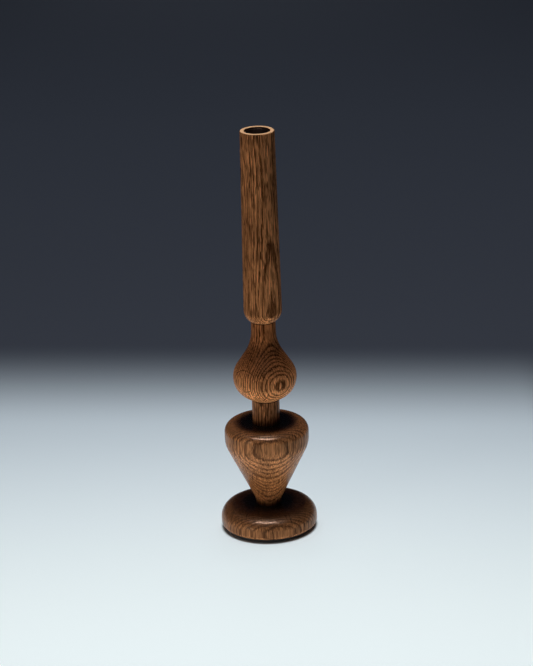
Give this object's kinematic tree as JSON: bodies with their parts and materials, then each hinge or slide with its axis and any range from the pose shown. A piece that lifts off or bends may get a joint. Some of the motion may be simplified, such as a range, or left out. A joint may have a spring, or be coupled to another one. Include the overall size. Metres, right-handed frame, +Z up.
{
  "type": "candlestick",
  "caption": "Turned dark oak candlestick: round base with a domed edge, inverted cone, short neck, onion bulb and a long slim stem with a socket for a taper candle.",
  "frame": {"origin": "centre of the felt pad's underside, where the candlestick stands", "axes": "+Z up along the turning axis, from the base to the candle socket; the piece is round, so +X and +Y are free, and the front faces -Y"},
  "size_m": [0.091, 0.091, 0.39],
  "materials": {
    "dark_oak": "dark stained and oiled oak, satin, grain along +Z, with the rim's end grain left pale",
    "felt": "black pressed wool felt",
    "zinc_steel": "zinc-plated steel",
    "dark_steel": "dark oxidised sheet steel, satin"
  },
  "bodies": {
    "root": {"felt_pad": "felt", "base_disc": "dark_oak", "screw_washer": "zinc_steel", "base_screw": "zinc_steel", "lower_cone": "dark_oak", "neck_dowel": "dark_oak", "bulb": "dark_oak", "stem": "dark_oak", "candle_cup": "dark_steel"}
  },
  "joints": []
}
